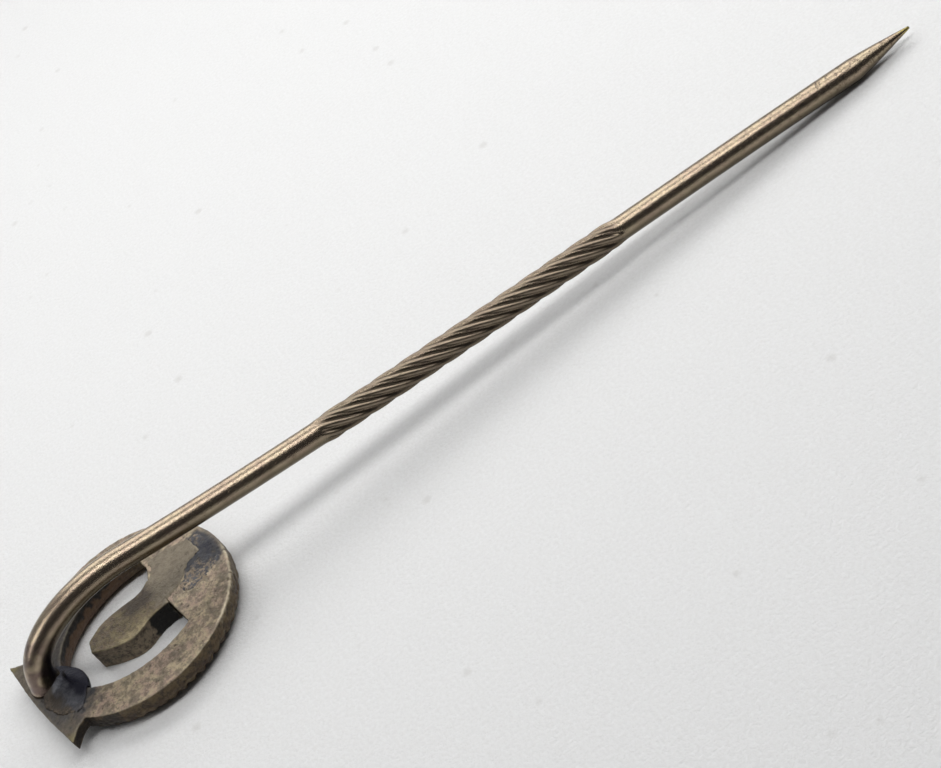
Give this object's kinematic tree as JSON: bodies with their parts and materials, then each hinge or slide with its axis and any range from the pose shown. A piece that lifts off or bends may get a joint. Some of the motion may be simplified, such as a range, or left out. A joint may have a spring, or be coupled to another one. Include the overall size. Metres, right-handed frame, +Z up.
{
  "type": "stick pin",
  "caption": "Long one-wire stick pin for a tie or lapel, with a twisted grip, soldered to a small openwork hoop with a fishtail foot and an inner tongue.",
  "frame": {"origin": "centre of the hoop, on the plane that the pin lies on, front face down", "axes": "+X along the stem towards its point, +Z up out of the head's back"},
  "size_m": [0.0537, 0.011, 0.0052],
  "materials": {
    "hoop": "worn silver plate over brass, pitted, brown patina",
    "tongue": "pale worn plate over brass, scraped, dark patina in the gap",
    "wire": "drawn nickel-coloured wire, satin, brown patina",
    "solder": "dark blue-grey tin-lead solder, matt, pitted"
  },
  "bodies": {
    "root": {"hoop": "hoop", "tongue": "tongue", "pin_stem": "wire", "stem_solder": "solder", "tongue_solder": "solder"}
  },
  "joints": []
}
